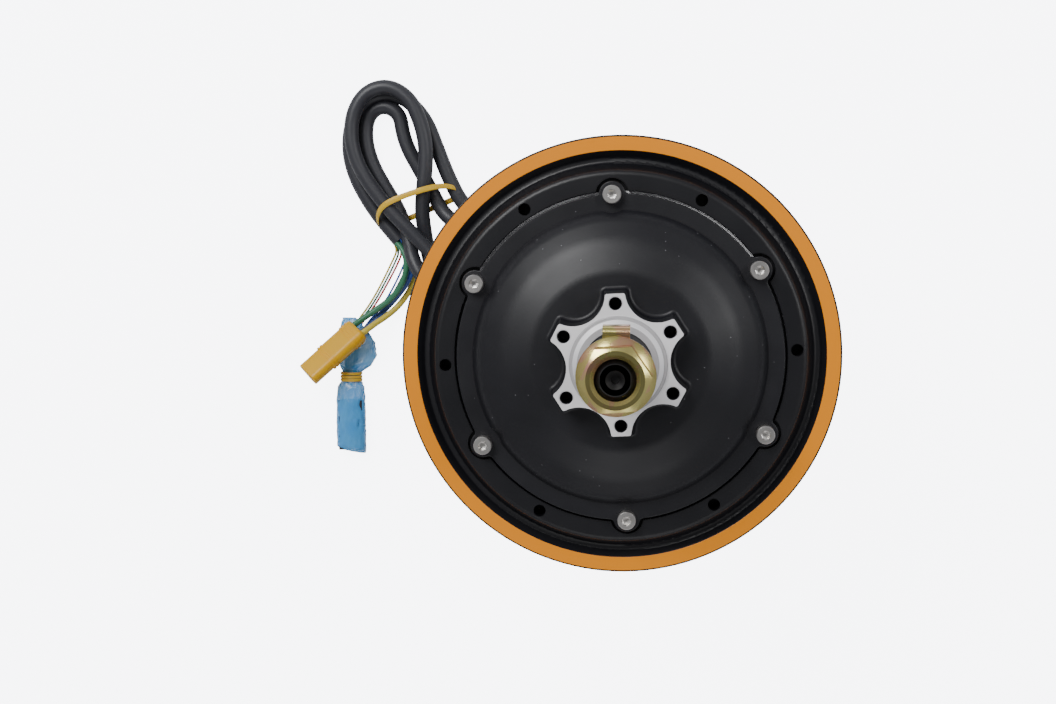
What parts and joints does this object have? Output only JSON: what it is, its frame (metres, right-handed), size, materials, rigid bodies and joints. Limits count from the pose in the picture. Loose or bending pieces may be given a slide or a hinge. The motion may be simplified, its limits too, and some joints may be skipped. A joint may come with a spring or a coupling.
{
  "type": "brushless outrunner motor",
  "caption": "Brushless outrunner hub motor built into a bare wheel rim, with domed cover, lobed brake-disc mount, threaded axle and a tied cable",
  "frame": {"origin": "on the axle, where the lower axle nut meets the surface that it stands on", "axes": "+Z along the axle towards the brake-disc side, +Y through the tabs of the axle washers, +X to the right of them seen from above"},
  "size_m": [0.2364, 0.1993, 0.224],
  "materials": {
    "axle_black": "black oxide, satin",
    "zinc_yellow": "yellow passivated zinc, slightly iridescent",
    "stainless": "satin stainless",
    "black_paint": "satin black powder coat",
    "lamination": "stacked laminations",
    "copper": "enamelled copper",
    "magnet": "nickel plated",
    "aluminium": "as machined",
    "insulator": "moulded nylon",
    "board": "solder-masked board",
    "black_plastic": "moulded",
    "bearing_steel": "ground",
    "ball_steel": "polished",
    "cage_steel": "pressed",
    "seal_rubber": "matt",
    "gasket": "fibre sheet",
    "cable_sheath": "semi-matt dark grey",
    "wire_yellow": "silicone sheath",
    "wire_green": "silicone sheath",
    "wire_blue": "silicone sheath",
    "wire_red": "silicone sheath",
    "wire_black": "silicone sheath",
    "plug_yellow": "moulded nylon",
    "gilt": "gilt",
    "film_blue": "thin translucent film",
    "plug_white": "moulded nylon"
  },
  "bodies": {
    "stator": {"axle": "axle_black", "stator_carrier": "aluminium", "carrier_key": "stainless", "stator_core": "lamination", "slot_insulators": "insulator", "coils_phase_a": "copper", "coils_phase_b": "copper", "coils_phase_c": "copper", "axle_lead_bundle": "cable_sheath", "phase_leads": "copper", "hall_board": "board", "hall_sensors": "black_plastic", "hall_board_feet": "insulator", "axle_circlips": "bearing_steel", "axle_nuts": "zinc_yellow", "tab_washers": "zinc_yellow", "cable_grommet": "seal_rubber", "upper_bearing_inner_ring": "bearing_steel", "lower_bearing_inner_ring": "bearing_steel", "motor_cable": "cable_sheath", "cable_hank": "cable_sheath", "phase_wire_yellow": "wire_yellow", "phase_wire_green": "wire_green", "phase_wire_blue": "wire_blue", "signal_wire_yellow": "wire_yellow", "signal_wire_green": "wire_green", "signal_wire_red": "wire_red", "signal_wire_blue": "wire_blue", "signal_wire_black": "wire_black", "plug_cap": "plug_yellow", "plug_housing": "plug_yellow", "plug_sockets": "gilt", "film_sleeve": "film_blue", "signal_plug": "plug_white", "upper_bearing_balls": "ball_steel", "upper_bearing_cage": "cage_steel", "lower_bearing_balls": "ball_steel", "lower_bearing_cage": "cage_steel"},
    "rotor": {"rim": "black_paint", "magnet_yoke": "bearing_steel", "magnets_north": "magnet", "magnets_south": "magnet", "disc_side_cover": "black_paint", "cable_side_cover": "black_paint", "disc_side_screws": "stainless", "cable_side_screws": "stainless", "disc_side_gasket": "gasket", "cable_side_gasket": "gasket", "upper_bearing_outer_ring": "bearing_steel", "lower_bearing_outer_ring": "bearing_steel", "upper_bearing_shields": "cage_steel", "lower_bearing_shields": "cage_steel", "upper_axle_seal": "seal_rubber", "lower_axle_seal": "seal_rubber"}
  },
  "joints": [
    {"name": "rotor_spin", "type": "hinge", "parent": "stator", "child": "rotor", "pos_m": [0, 0, 0.112], "axis": [0, 0, 1], "continuous": true}
  ]
}
